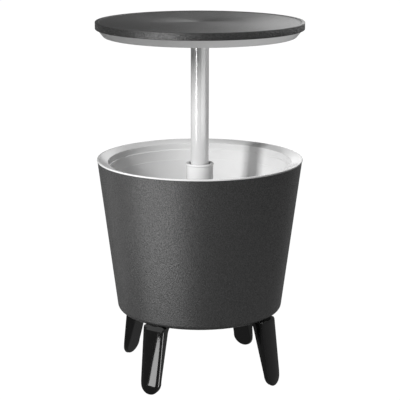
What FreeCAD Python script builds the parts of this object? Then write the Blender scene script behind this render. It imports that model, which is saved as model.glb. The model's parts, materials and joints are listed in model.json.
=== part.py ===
import FreeCAD, Part
import math
import os

# Round side table over an ice bucket. Millimetres, +Z up, ground at z = 0, and the
# pole on the Z axis. The legs stand on the diagonals. The table is drawn raised.

V = FreeCAD.Vector
UP = V(0, 0, 1)
CENTRE = V(0, 0, 0)

# Clearances
slide_gap = 0.3
fit_gap = 0.1
thread_gap = 0.05
bond = 0.5
margin = 1.0

# Tabletop
table_radius = 245.0
table_height = 856.7
skirt_depth = 17.3
skirt_wall = 2.5
top_plate = 3.0
bead_height = 1.0
bead_width = 8.0
bead_slope = 2.0
skirt_edge = 1.5
skirt_foot_round = 1.6
rib_depth = 14.0
rib_wall = 2.0
rib_inner_radius = 62.0
rib_end_gap = 11.9
rib_ring_radius = 150.0
pan_depth = 18.0
pan_cone_width = 16.9
pan_cone_height = 21.0
pan_wall = 2.5
pan_edge = 6.0
pan_screw_inset = 20.5
pan_screw_count = 8
pan_boss_radius = 5.0

# Pole and its hub under the tabletop
pole_radius = 21.35
pole_wall = 2.4
hub_flange_radius = 44.0
hub_flange = 4.0
hub_wall = 4.4
hub_cap = 3.5
hub_boss_height = 9.5
hub_boss_radius = 5.5
hub_screw_circle = 34.0
hub_screw_count = 4
hub_gusset = 3.0
pin_radius = 2.5
hub_pin_drop = 8.0

# Bucket rim and liner
rim_height = 531.2
rim_inset = 0.2
rim_edge = 3.5
rim_round = 1.5
rim_crest = 4.0
funnel_drop = 7.0
funnel_width = 22.3
liner_wall = 2.8
throat_depth = 14.0
throat_step = 3.0
throat_draft = 1.0
band_depth = 26.0
band_step = 0.6
liner_floor = 248.2
liner_corner = 12.0
floor_plate_radius = 165.0
lip_rib_wall = 2.5
lip_rib_depth = 9.0

# Outer shell
bucket_bottom = 162.2
rim_overhang = 0.8
shell_base_radius = 197.4
shell_wall = 3.0
shell_corner = 12.0
shell_top_round = 0.8

# Screws that hold the shell under the liner
base_screw_circle = 130.0
base_screw_count = 6
base_boss_radius = 7.0

# Centre column, where the pole runs
column_bore = 28.0
column_wall = 2.5
column_flange_radius = 44.0
column_flange = 4.0
column_nut_radius = 41.0
column_nut_height = 10.0
column_nut_notches = 6
column_nut_notch = 5.0
gasket_thickness = 1.5
gasket_width = 8.0
key_width = 5.0
key_height = 1.4
key_margin = 3.0
column_seat_wall = 2.5
column_seat_height = 6.0

# Collar on the column, with the ledges that the pole's lugs turn onto
collar_height = 518.7
collar_lip_radius = 33.4
collar_lip_height = 4.0
lip_round = 1.6
collar_bore = 25.0
collar_web = 6.5
collar_skirt_wall = 1.6
collar_skirt_depth = 37.5
bush_depth = 10.0
bush_height = 10.5
bush_lead = 1.0
shoulder_height = 1.5
shoulder_bore = 24.0
lug_height = 6.0
lug_radius = 25.9
lug_cavity = 26.3
lug_angle = 70.0
ledge_height = 5.0
ledge_bore = 23.2
ledge_angle = 96.0
stop_angle = 5.0
lock_turn = 60.0
stop_margin = 2.0
collar_screw_angles = (60.0, 120.0)

# Foot of the pole
foot_plug_length = 36.0
foot_pin_rise = 7.0
neck_radius = 16.0
ring_height = 12.0
washer_radius = 21.0
washer_height = 1.6

# Drain
drain_offset = 110.0
drain_radius = 11.0
drain_wall = 3.0
drain_flange_radius = 20.0
drain_flange = 2.5
drain_below = 7.0
drain_nut_across = 30.0
drain_nut_height = 9.0
plug_depth = 20.0
plug_lead = 1.5
plug_head_radius = 15.0
plug_head_height = 5.0
plug_grip_height = 10.0
plug_grip_width = 24.0
plug_grip_wall = 4.0
seal_wire = 1.2

# Legs
leg_top_out = 196.2
leg_foot_out = 217.2
leg_top_in = 159.5
leg_foot_in = 206.9
leg_top_width = 56.0
leg_foot_width = 49.6
leg_top_inner_width = 38.0
leg_foot_inner_width = 45.0
leg_end_flat = 5.0
leg_foot_trim = 0.6
leg_edge_round = 3.5
leg_inner_edge_round = 3.0
leg_shoulder_round = 4.0
leg_pad_in = 134.0
leg_pad = 8.0
leg_pad_width = 35.0
leg_pad_round = 18.0
spigot_length = 12.0
spigot_width = 34.0
spigot_height = 12.0
spigot_circle = 180.0
socket_wall = 1.8
leg_screw_circle = 143.5
leg_screw_spread = 22.0
leg_boss_radius = 5.0
leg_boss_height = 18.0
leg_angles = {"front_right_leg": -45.0, "rear_right_leg": 45.0,
              "rear_left_leg": 135.0, "front_left_leg": 225.0}

# Screws, as (shank radius, length under the head, head radius, head height)
head_taper = 0.4
pan_screw = (1.8, 14.0, 3.8, 2.0)
hub_screw = (2.0, 11.0, 4.0, 2.2)
base_screw = (2.2, 24.0, 4.2, 2.2)
leg_screw = (2.2, 22.0, 4.2, 2.2)
collar_screw = (1.3, 4.6, 2.4, 0.9)
ring_screw = (2.4, 16.0, 5.0, 3.0)

# Heights and radii that follow from the sizes above
skirt_bottom = table_height - skirt_depth
pan_bottom = skirt_bottom - pan_depth
pan_inside = pan_bottom + pan_wall
panel_under = table_height - bead_height - top_plate
pan_rim_radius = table_radius - skirt_wall - fit_gap
pan_floor_radius = pan_rim_radius - pan_cone_width
pan_screw_circle = pan_floor_radius - pan_screw_inset
rib_outer_radius = pan_rim_radius - pan_wall - rib_end_gap
pole_top = panel_under - hub_cap
pole_inside = pole_radius - pole_wall
rim_radius = table_radius - rim_inset
rim_under = rim_height - rim_edge
mouth_radius = rim_radius - rim_crest - funnel_width
shell_top_radius = rim_radius - rim_overhang
throat_top = rim_height - funnel_drop
throat_bottom = throat_top - throat_depth
liner_under = liner_floor - liner_wall
shell_inside = bucket_bottom + shell_wall
draft = (shell_top_radius - shell_base_radius) / (rim_under - bucket_bottom)
wall_radius = mouth_radius - throat_draft - throat_step
liner_floor_radius = wall_radius - draft * (throat_bottom - throat_step - liner_floor)
column_radius = column_bore + column_wall
column_top = collar_height - collar_web
bush_top = collar_height - bush_depth
bush_bottom = bush_top - bush_height
shoulder_bottom = bush_bottom - shoulder_height
lug_top = shoulder_bottom - slide_gap
lug_bottom = lug_top - lug_height
ledge_top = lug_bottom - slide_gap
ledge_bottom = ledge_top - ledge_height
stem_bottom = ledge_bottom
ring_top = stem_bottom - slide_gap
ring_bottom = ring_top - ring_height
neck_bottom = ring_bottom - slide_gap
drain_centre = V(0, drain_offset, 0)
funnel_slope = funnel_drop / funnel_width
pan_rest = throat_top + funnel_slope * (pan_floor_radius - mouth_radius) + slide_gap
lift_travel = pan_bottom - pan_rest


def rounded_wire(corners, place):
    """Closed wire through (a, b, radius) corners, each rounded by its own radius."""
    count = len(corners)
    starts, ends, middles = [], [], []
    for i, (a, b, radius) in enumerate(corners):
        here = V(a, b, 0)
        before = V(corners[i - 1][0], corners[i - 1][1], 0) - here
        after = V(corners[(i + 1) % count][0], corners[(i + 1) % count][1], 0) - here
        before.normalize()
        after.normalize()
        if radius == 0:
            starts.append(here)
            ends.append(here)
            middles.append(None)
            continue
        half = before.getAngle(after) / 2
        reach = radius / math.tan(half)
        inward = before + after
        inward.normalize()
        starts.append(here + before * reach)
        ends.append(here + after * reach)
        middles.append(here + inward * (radius / math.sin(half) - radius))
    edges = []
    for i in range(count):
        if middles[i] is not None:
            arc = [place(p.x, p.y) for p in (starts[i], middles[i], ends[i])]
            edges.append(Part.Arc(*arc).toShape())
        leave, meet = ends[i], starts[(i + 1) % count]
        if (meet - leave).Length > 1e-6:
            edges.append(Part.makeLine(place(leave.x, leave.y), place(meet.x, meet.y)))
    return Part.Wire(edges)


def turned(corners):
    """Solid of revolution about Z from (radius, height, rounding) corners."""
    face = Part.Face(rounded_wire(corners, lambda r, z: V(r, 0, z)))
    return face.revolve(CENTRE, UP, 360)


def cylinder(radius, low, high, at=CENTRE):
    return Part.makeCylinder(radius, high - low, V(at.x, at.y, low), UP)


def tube(outer, inner, low, high, at=CENTRE):
    return cylinder(outer, low, high, at).cut(cylinder(inner, low, high, at))


def block(x0, x1, y0, y1, z0, z1):
    return Part.makeBox(x1 - x0, y1 - y0, z1 - z0, V(x0, y0, z0))


def turn(shape, degrees):
    copy = shape.copy()
    copy.rotate(CENTRE, UP, degrees)
    return copy


def on_circle(radius, count, first=0.0):
    """Points spaced evenly on a circle about the Z axis."""
    angles = [math.radians(first + 360.0 * i / count) for i in range(count)]
    return [V(radius * math.cos(a), radius * math.sin(a), 0) for a in angles]


def sector(outer, inner, low, high, angle):
    """Part of a ring, centred on +X."""
    face = Part.Face(rounded_wire([(inner, low, 0), (outer, low, 0), (outer, high, 0),
                                   (inner, high, 0)], lambda r, z: V(r, 0, z)))
    return turn(face.revolve(CENTRE, UP, angle), -angle / 2)


def screw(size, seat, axis=UP):
    """Screw whose head's bearing face is at seat, with its shank along axis."""
    shank, length, head, height = size
    body = Part.makeCylinder(shank, length, seat, axis)
    cap = Part.makeCone(head, head - height * head_taper, height, seat, axis * -1)
    return body.fuse(cap)


def holes(points, radius, low, high):
    return Part.makeCompound([cylinder(radius, low, high, p) for p in points])


# Tabletop

pan_screw_points = on_circle(pan_screw_circle, pan_screw_count, 180.0 / pan_screw_count)
hub_screw_points = on_circle(hub_screw_circle, hub_screw_count, 45.0)


def tabletop_panel():
    """Top with a raised edge bead, a skirt, and ribs and screw bosses underneath."""
    field = table_height - bead_height
    bead = table_radius - bead_width
    panel = turned([(0, field, 0), (bead - bead_slope, field, bead_slope),
                    (bead, table_height, bead_slope),
                    (table_radius, table_height, skirt_edge),
                    (table_radius, skirt_bottom, skirt_foot_round),
                    (table_radius - skirt_wall, skirt_bottom, 0),
                    (table_radius - skirt_wall, panel_under, 0), (0, panel_under, 0)])
    rib_low = panel_under - rib_depth
    ribs = [tube(r, r - rib_wall, rib_low, panel_under)
            for r in (rib_inner_radius, rib_ring_radius)]
    spoke = block(rib_inner_radius - rib_wall, rib_outer_radius, -rib_wall / 2, rib_wall / 2,
                  rib_low, panel_under)
    ribs += [turn(spoke, 360.0 * (i + 0.5) / pan_screw_count) for i in range(pan_screw_count)]
    bosses = [cylinder(pan_boss_radius, pan_inside, panel_under, p) for p in pan_screw_points]
    panel = panel.multiFuse(ribs + bosses)
    pilot = holes(pan_screw_points, pan_screw[0] + thread_gap, pan_inside,
                  pan_bottom + pan_screw[1] + margin)
    return panel.cut(pilot)


def tabletop_pan():
    """Light dish that closes the tabletop from below."""
    lift = pan_cone_height
    pan = turned([(pole_radius + fit_gap, pan_bottom, 0), (pan_floor_radius, pan_bottom, pan_edge),
                  (pan_rim_radius, pan_bottom + lift, pan_edge), (pan_rim_radius, panel_under, 0),
                  (pan_rim_radius - pan_wall, panel_under, 0),
                  (pan_rim_radius - pan_wall, pan_bottom + lift + pan_wall / 2, 0),
                  (pan_floor_radius - pan_wall / 2, pan_inside, 0),
                  (pole_radius + fit_gap, pan_inside, 0)])
    pan = pan.cut(holes(pan_screw_points, pan_screw[0] + fit_gap, pan_bottom, pan_inside))
    return pan.cut(holes(hub_screw_points, hub_screw[0] + fit_gap, pan_bottom, pan_inside))


def pole_hub():
    """Socket inside the tabletop that the pole stands in."""
    outer = pole_radius + hub_wall
    hub = cylinder(hub_flange_radius, pan_inside, pan_inside + hub_flange)
    hub = hub.fuse(cylinder(outer, pan_inside, panel_under))
    boss_top = pan_inside + hub_boss_height
    bosses = [cylinder(hub_boss_radius, pan_inside, boss_top, p) for p in hub_screw_points]
    gusset = block(outer - margin, hub_flange_radius - hub_gusset, -hub_gusset / 2, hub_gusset / 2,
                   pan_inside, boss_top)
    gussets = [turn(gusset, 360.0 * i / hub_screw_count) for i in range(hub_screw_count)]
    hub = hub.multiFuse(bosses + gussets)
    hub = hub.cut(cylinder(pole_radius + fit_gap, pan_inside, pole_top))
    hub = hub.cut(holes(hub_screw_points, hub_screw[0] + thread_gap, pan_inside, boss_top))
    return hub.cut(cross_pin(pole_top - hub_pin_drop, outer + margin, pin_radius + fit_gap))


def cross_pin(height, reach, radius=pin_radius):
    """Pin through the pole along Y."""
    return Part.makeCylinder(radius, 2 * reach, V(0, -reach, height), V(0, 1, 0))


# Pole

foot_top = lug_top + foot_plug_length
foot_pin_height = lug_top + foot_pin_rise


def pole_tube():
    pole = tube(pole_radius, pole_inside, lug_top, pole_top)
    reach = pole_radius + margin
    pole = pole.cut(cross_pin(pole_top - hub_pin_drop, reach, pin_radius + fit_gap))
    return pole.cut(cross_pin(foot_pin_height, reach, pin_radius + fit_gap))


def pole_foot():
    """Plug in the pole's lower end, with two lugs, and a neck that carries the ring."""
    foot = turned([(0, neck_bottom, 0), (neck_radius, neck_bottom, 0), (neck_radius, stem_bottom, 0),
                   (pole_radius, stem_bottom, 0), (pole_radius, lug_top, 0),
                   (pole_inside - fit_gap, lug_top, 0), (pole_inside - fit_gap, foot_top, 0),
                   (0, foot_top, 0)])
    lug = sector(lug_radius, pole_radius - margin, lug_bottom, lug_top, lug_angle)
    foot = foot.multiFuse([turn(lug, 90), turn(lug, 270)])
    foot = foot.cut(cross_pin(foot_pin_height, pole_radius, pin_radius + fit_gap))
    return foot.cut(cylinder(ring_screw[0] + thread_gap, neck_bottom,
                             neck_bottom - washer_height + ring_screw[1] + margin))


def guide_ring():
    """Ring that turns on the pole's neck and slides on the column's two keys."""
    ring = tube(column_bore - slide_gap, neck_radius + slide_gap, ring_bottom, ring_top)
    half = key_width / 2 + slide_gap
    notch = block(column_bore - key_height - slide_gap, column_bore + margin, -half, half,
                  ring_bottom, ring_top)
    return ring.cut(notch).cut(turn(notch, 180))


# Column and collar

def center_column():
    """Tube that the pole runs in, flanged where it stands on the liner's floor."""
    seat = liner_floor + gasket_thickness
    column = turned([(column_bore, shell_inside, 0), (column_radius, shell_inside, 0),
                     (column_radius, seat, 0), (column_flange_radius, seat, 0),
                     (column_flange_radius, seat + column_flange, column_flange / 3),
                     (column_radius, seat + column_flange, column_flange),
                     (column_radius, column_top, 0),
                     (column_bore, column_top, 0)])
    key = block(column_bore - key_height, column_bore + column_wall / 2, -key_width / 2,
                key_width / 2, shell_inside + key_margin, ledge_bottom - key_margin)
    column = column.multiFuse([key, turn(key, 180)])
    return column.cut(collar_screws(thread_gap))


def column_gasket():
    return tube(column_radius + gasket_width, column_radius + fit_gap, liner_floor,
                liner_floor + gasket_thickness)


def column_nut():
    """Ring nut under the liner's floor, with notches for a spanner."""
    low = liner_under - column_nut_height
    nut = tube(column_nut_radius, column_radius + thread_gap, low, liner_under)
    notch = block(column_nut_radius - column_nut_notch / 2, column_nut_radius + margin,
                  -column_nut_notch / 2, column_nut_notch / 2, low, liner_under)
    return nut.cut(Part.makeCompound([turn(notch, 360.0 * i / column_nut_notches)
                                      for i in range(column_nut_notches)]))


def column_collar():
    """Cap on the column: flared lip, seat for the bush, cavity and ledges for the lugs."""
    skirt_in = column_radius + fit_gap
    skirt_out = skirt_in + collar_skirt_wall
    plug_out = column_bore - fit_gap
    lip_bottom = collar_height - collar_lip_height
    flare = collar_lip_radius - skirt_out
    collar = turned([(collar_bore, collar_height, lip_round / 2),
                     (collar_lip_radius, collar_height, lip_round),
                     (collar_lip_radius, lip_bottom, 0), (skirt_out, lip_bottom - flare, 0),
                     (skirt_out, collar_height - collar_skirt_depth, 0),
                     (skirt_in, collar_height - collar_skirt_depth, 0), (skirt_in, column_top, 0),
                     (plug_out, column_top, 0), (plug_out, ledge_bottom, 0),
                     (lug_cavity, ledge_bottom, 0), (lug_cavity, shoulder_bottom, 0),
                     (shoulder_bore, shoulder_bottom, 0), (shoulder_bore, bush_bottom, 0),
                     (collar_bore, bush_bottom, 0)])
    outer = lug_cavity + bond
    ledge = sector(outer, ledge_bore, ledge_bottom, ledge_top, ledge_angle)
    stop = sector(outer, shoulder_bore, ledge_bottom, shoulder_bottom, stop_angle)
    entry_stop = turn(stop, (ledge_angle - stop_angle) / 2)
    lock_stop = turn(stop, 90 + lug_angle / 2 + lock_turn + stop_margin + stop_angle / 2)
    made = [ledge, entry_stop, lock_stop]
    collar = collar.multiFuse(made + [turn(shape, 180) for shape in made])
    return collar.cut(collar_screws(thread_gap))


def guide_bush():
    """Plain bearing for the pole, seated in the collar."""
    inner = pole_radius + slide_gap
    return turned([(inner, bush_bottom, 0), (collar_bore - fit_gap, bush_bottom, 0),
                   (collar_bore - fit_gap, bush_top, 0), (inner + bush_lead, bush_top, 0),
                   (inner, bush_top - bush_lead, 0)])


def collar_screws(grow=0.0):
    """Short screws through the collar's skirt into the column, on its rear side."""
    shank, length, head, height = collar_screw
    radius = column_radius + fit_gap + collar_skirt_wall
    level = (ledge_top + ledge_bottom) / 2
    made = []
    for angle in collar_screw_angles:
        out = V(math.cos(math.radians(angle)), math.sin(math.radians(angle)), 0)
        seat = out * radius + V(0, 0, level)
        if grow:
            made.append(Part.makeCylinder(shank + grow, length + 2 * margin, seat + out * margin,
                                          out * -1))
        else:
            made.append(screw((shank, length, head, height), seat, out * -1))
    return Part.makeCompound(made)


# Bucket

base_screw_points = on_circle(base_screw_circle, base_screw_count)


def liner():
    """Bucket wall with its rim, funnel and throat, down to the edge of the floor plate."""
    crest = rim_radius - rim_crest
    lip_rib_out = shell_top_radius - shell_wall - fit_gap
    lip_rib_in = lip_rib_out - lip_rib_wall
    lip_rib_low = lip_rib_out - draft * lip_rib_depth

    def under_funnel(radius):
        return rim_height - funnel_slope * (crest - radius) - liner_wall

    band = throat_bottom - band_depth
    band_radius = wall_radius - draft * (band_depth - throat_step)
    profile = [(rim_radius, rim_under, 0), (rim_radius, rim_height, rim_round),
               (crest, rim_height, 2 * rim_round), (mouth_radius, throat_top, rim_round),
               (mouth_radius - throat_draft, throat_bottom, 0),
               (wall_radius, throat_bottom - throat_step, rim_round),
               (band_radius, band, 0), (band_radius - band_step, band - band_step, 0),
               (liner_floor_radius - band_step, liner_floor, liner_corner),
               (floor_plate_radius, liner_floor, 0), (floor_plate_radius, liner_under, 0),
               (liner_floor_radius + liner_wall, liner_under, liner_corner + liner_wall),
               (wall_radius + liner_wall, throat_bottom - throat_step, 0),
               (mouth_radius + liner_wall - throat_draft, throat_bottom, 0),
               (mouth_radius + liner_wall, under_funnel(mouth_radius + liner_wall), 0),
               (lip_rib_in, under_funnel(lip_rib_in), 0), (lip_rib_in, rim_under - lip_rib_depth, 0),
               (lip_rib_low, rim_under - lip_rib_depth, 0), (lip_rib_out, rim_under, 0)]
    return turned(profile)


def liner_floor_plate():
    """Floor of the bucket, with holes for column and drain and the shell's screw bosses."""
    plate = tube(floor_plate_radius, column_radius + fit_gap, liner_under, liner_floor)
    bosses = [cylinder(base_boss_radius, shell_inside, liner_under + margin, p)
              for p in base_screw_points]
    plate = plate.multiFuse(bosses)
    plate = plate.cut(holes(base_screw_points, base_screw[0] + thread_gap, shell_inside,
                            bucket_bottom + base_screw[1] + margin))
    return plate.cut(cylinder(drain_radius + fit_gap, liner_under, liner_floor, drain_centre))


def leg_screw_points(angle):
    a = math.radians(angle)
    out = V(math.cos(a), math.sin(a), 0)
    side = V(-math.sin(a), math.cos(a), 0)
    return [out * leg_screw_circle + side * (s * leg_screw_spread / 2) for s in (-1, 1)]


def outer_shell():
    """Tapered outer shell with a flat bottom, leg sockets and bosses inside."""
    inner_base = shell_base_radius - shell_wall
    shell = turned([(0, bucket_bottom, 0), (shell_base_radius, bucket_bottom, shell_corner),
                    (shell_top_radius, rim_under, shell_top_round),
                    (shell_top_radius - shell_wall, rim_under, 0),
                    (inner_base, shell_inside, shell_corner - shell_wall), (0, shell_inside, 0)])
    extras = [tube(column_radius + fit_gap + column_seat_wall, column_radius + fit_gap,
                   shell_inside, shell_inside + column_seat_height)]
    cuts = [cylinder(drain_radius + fit_gap, bucket_bottom, shell_inside, drain_centre),
            holes(base_screw_points, base_screw[0] + fit_gap, bucket_bottom, shell_inside)]
    half_long = spigot_length / 2 + fit_gap
    half_wide = spigot_width / 2 + fit_gap
    for angle in leg_angles.values():
        walls = block(spigot_circle - half_long - socket_wall,
                      spigot_circle + half_long + socket_wall, -half_wide - socket_wall,
                      half_wide + socket_wall, shell_inside - margin,
                      bucket_bottom + spigot_height)
        extras.append(turn(walls, angle))
        pocket = block(spigot_circle - half_long, spigot_circle + half_long, -half_wide,
                       half_wide, bucket_bottom, bucket_bottom + spigot_height)
        cuts.append(turn(pocket, angle))
        for point in leg_screw_points(angle):
            extras.append(cylinder(leg_boss_radius, shell_inside - margin,
                                   shell_inside + leg_boss_height, point))
            cuts.append(cylinder(leg_screw[0] + thread_gap, bucket_bottom,
                                 bucket_bottom - leg_pad + leg_screw[1] + margin, point))
    return shell.multiFuse(extras).cut(Part.makeCompound(cuts))


# Legs

def leg_face(foot, top, foot_width, top_width):
    """Outline of the leg's sloping outer or inner face, half round at the foot."""
    run = math.hypot(top - foot, bucket_bottom)
    end_round = (foot_width - leg_end_flat) / 2
    return rounded_wire([(-top_width / 2, run, 0), (top_width / 2, run, 0),
                         (foot_width / 2, -leg_foot_trim, end_round),
                         (-foot_width / 2, -leg_foot_trim, end_round)],
                        lambda y, s: V(foot + (top - foot) * s / run, y, bucket_bottom * s / run))


def leg(angle):
    """Paddle leg that narrows inwards, with a pad under the shell and a spigot."""
    pad_under = bucket_bottom - leg_pad
    blade = Part.makeLoft([leg_face(leg_foot_out, leg_top_out, leg_foot_width, leg_top_width),
                           leg_face(leg_foot_in, leg_top_in, leg_foot_inner_width,
                                    leg_top_inner_width)], True, True)
    blade = blade.makeFillet(leg_edge_round, [e for e in blade.Edges if is_end_edge(e, leg_foot_out)])
    blade = blade.makeFillet(leg_inner_edge_round,
                             [e for e in blade.Edges if is_end_edge(e, leg_foot_in)])
    front = rounded_wire([(leg_top_out + fit_gap, bucket_bottom, leg_shoulder_round),
                          (leg_foot_out + fit_gap, 0, 0), (leg_pad_in, 0, 0),
                          (leg_pad_in, bucket_bottom, 0)], lambda r, z: V(r, -leg_top_width, z))
    blade = blade.common(Part.Face(front).extrude(V(0, 2 * leg_top_width, 0)))
    pad_meet = leg_top_in + (leg_foot_in - leg_top_in) * leg_pad / bucket_bottom
    side = rounded_wire([(leg_top_in + leg_pad_round, bucket_bottom, 0),
                         ((leg_top_in + leg_foot_in) / 2, bucket_bottom / 2, 0),
                         (pad_meet, pad_under, leg_pad_round),
                         (leg_pad_in, pad_under, 0), (leg_pad_in, bucket_bottom, 0)],
                        lambda r, z: V(r, -leg_pad_width / 2, z))
    blade = blade.fuse(Part.Face(side).extrude(V(0, leg_pad_width, 0)))
    spigot = block(spigot_circle - spigot_length / 2, spigot_circle + spigot_length / 2,
                   -spigot_width / 2, spigot_width / 2, bucket_bottom - margin,
                   bucket_bottom + spigot_height - margin)
    blade = turn(blade.fuse(spigot), angle)
    return blade.cut(holes(leg_screw_points(angle), leg_screw[0] + fit_gap, pad_under - margin,
                           bucket_bottom))


def is_end_edge(edge, radius):
    """True for the edge across the leg's end at this radius: its fillet runs on up the blade."""
    box = edge.BoundBox
    return box.ZMax < thread_gap and box.YLength > box.XLength and abs(box.XMin - radius) < margin


# Drain

drain_bore = drain_radius - drain_wall
plug_radius = drain_bore - slide_gap


def drain_spout():
    """Flanged tube from the liner's floor down through the shell."""
    seat = liner_floor + gasket_thickness
    spout = cylinder(drain_flange_radius, seat, seat + drain_flange, drain_centre)
    spout = spout.fuse(cylinder(drain_radius, bucket_bottom - drain_below, seat, drain_centre))
    return spout.cut(cylinder(drain_bore, bucket_bottom - drain_below, seat + drain_flange,
                              drain_centre))


def drain_gasket():
    return tube(drain_flange_radius - margin, drain_radius + fit_gap, liner_floor,
                liner_floor + gasket_thickness, drain_centre)


def drain_nut():
    corner = drain_nut_across / math.sqrt(3)
    points = [p + V(0, drain_offset, liner_under - drain_nut_height) for p in on_circle(corner, 6)]
    nut = Part.Face(Part.makePolygon(points + points[:1])).extrude(UP * drain_nut_height)
    return nut.cut(cylinder(drain_radius + thread_gap, liner_under - drain_nut_height,
                            liner_under, drain_centre))


plug_seat = bucket_bottom - drain_below - slide_gap
seal_level = plug_seat + plug_depth / 2


def drain_plug():
    """Push-in plug with a finger grip and a groove for its seal."""
    head_low = plug_seat - plug_head_height
    plug = turned([(0, head_low, 0), (plug_head_radius, head_low, plug_lead),
                   (plug_head_radius, plug_seat, 0), (plug_radius, plug_seat, 0),
                   (plug_radius, seal_level - seal_wire, 0),
                   (plug_radius - seal_wire, seal_level - seal_wire, 0),
                   (plug_radius - seal_wire, seal_level + seal_wire, 0),
                   (plug_radius, seal_level + seal_wire, 0),
                   (plug_radius, plug_seat + plug_depth - plug_lead, 0),
                   (plug_radius - plug_lead, plug_seat + plug_depth, 0),
                   (0, plug_seat + plug_depth, 0)])
    grip = block(-plug_grip_width / 2, plug_grip_width / 2, -plug_grip_wall / 2,
                 plug_grip_wall / 2, head_low - plug_grip_height, head_low + margin)
    plug = plug.fuse(grip)
    plug.translate(drain_centre)
    return plug


def drain_seal():
    """Square seal ring in the plug's groove, just clear of the spout."""
    return tube(plug_radius + fit_gap, plug_radius - seal_wire + thread_gap,
                seal_level - seal_wire / 2, seal_level + seal_wire / 2, drain_centre)


def screws(size, points, seat):
    return Part.makeCompound([screw(size, V(p.x, p.y, seat)) for p in points])


def ring_washer():
    return tube(washer_radius, ring_screw[0] + fit_gap, neck_bottom - washer_height, neck_bottom)


nodes = {
    "tabletop_panel": tabletop_panel(),
    "tabletop_pan": tabletop_pan(),
    "pan_screws": screws(pan_screw, pan_screw_points, pan_bottom),
    "pole_hub": pole_hub(),
    "hub_screws": screws(hub_screw, hub_screw_points, pan_bottom),
    "hub_pin": cross_pin(pole_top - hub_pin_drop, pole_radius + hub_wall - fit_gap),
    "pole_tube": pole_tube(),
    "pole_foot": pole_foot(),
    "foot_pin": cross_pin(foot_pin_height, pole_radius - fit_gap),
    "ring_washer": ring_washer(),
    "ring_screw": screw(ring_screw, V(0, 0, neck_bottom - washer_height)),
    "guide_ring": guide_ring(),
    "column_collar": column_collar(),
    "guide_bush": guide_bush(),
    "collar_screws": collar_screws(),
    "center_column": center_column(),
    "column_gasket": column_gasket(),
    "column_nut": column_nut(),
    "liner": liner(),
    "liner_floor": liner_floor_plate(),
    "outer_shell": outer_shell(),
    "base_screws": screws(base_screw, base_screw_points, bucket_bottom),
    "drain_spout": drain_spout(),
    "drain_gasket": drain_gasket(),
    "drain_nut": drain_nut(),
    "drain_plug": drain_plug(),
    "drain_seal": drain_seal(),
}
all_leg_screws = []
for leg_name, leg_angle in leg_angles.items():
    nodes[leg_name] = leg(leg_angle)
    all_leg_screws += leg_screw_points(leg_angle)
nodes["leg_screws"] = screws(leg_screw, all_leg_screws, bucket_bottom - leg_pad)

for name, shape in nodes.items():
    shape.exportStep("parts/" + name + ".step")
    print(name, "solids", len(shape.Solids), "valid", shape.isValid(),
          "cm3", round(shape.Volume / 1000, 1))
print("lift travel", round(lift_travel, 2), "closed height", round(table_height - lift_travel, 2))
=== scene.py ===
import json
import math

import bmesh
import bpy
from mathutils import Matrix, Vector


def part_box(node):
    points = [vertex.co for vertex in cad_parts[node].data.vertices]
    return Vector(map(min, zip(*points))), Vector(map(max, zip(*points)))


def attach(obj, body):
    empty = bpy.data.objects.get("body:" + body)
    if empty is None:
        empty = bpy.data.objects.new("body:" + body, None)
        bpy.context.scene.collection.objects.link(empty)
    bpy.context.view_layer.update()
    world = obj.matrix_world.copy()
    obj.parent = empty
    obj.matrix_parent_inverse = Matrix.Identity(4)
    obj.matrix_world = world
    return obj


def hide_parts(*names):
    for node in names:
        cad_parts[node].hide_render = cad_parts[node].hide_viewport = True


# Round side table over an ice bucket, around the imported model. Lengths in the pieces' dictionaries
# are millimetres, and mm turns them into metres. Those of finishes and studio are metres.

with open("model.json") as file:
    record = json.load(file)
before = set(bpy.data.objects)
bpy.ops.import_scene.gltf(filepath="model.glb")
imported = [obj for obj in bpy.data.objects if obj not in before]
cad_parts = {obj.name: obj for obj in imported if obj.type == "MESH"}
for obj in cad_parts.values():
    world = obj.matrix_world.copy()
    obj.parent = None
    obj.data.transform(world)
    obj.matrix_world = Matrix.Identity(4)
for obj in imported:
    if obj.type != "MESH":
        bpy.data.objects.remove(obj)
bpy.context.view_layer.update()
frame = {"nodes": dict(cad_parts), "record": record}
nodes = frame["nodes"]
mm = 0.001
touching = 1e-6  # points nearer than this count as one
print("frame loaded:", len(nodes), "nodes")


def edgeOf(node, corner, axis):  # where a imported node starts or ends, in millimetres
    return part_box(node)[("low", "high").index(corner)]["xyz".index(axis)] / mm


class Socket:  # a node's output, which adds Math nodes where it is used in an expression
    def __init__(self, finish, end):
        self.finish = finish
        self.end = end

    def __add__(self, other):
        return self.finish.maths("ADD", self, other)

    def __radd__(self, other):
        return self.finish.maths("ADD", other, self)

    def __sub__(self, other):
        return self.finish.maths("SUBTRACT", self, other)

    def __rsub__(self, other):
        return self.finish.maths("SUBTRACT", other, self)

    def __mul__(self, other):
        return self.finish.maths("MULTIPLY", self, other)

    def __rmul__(self, other):
        return self.finish.maths("MULTIPLY", other, self)


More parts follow.
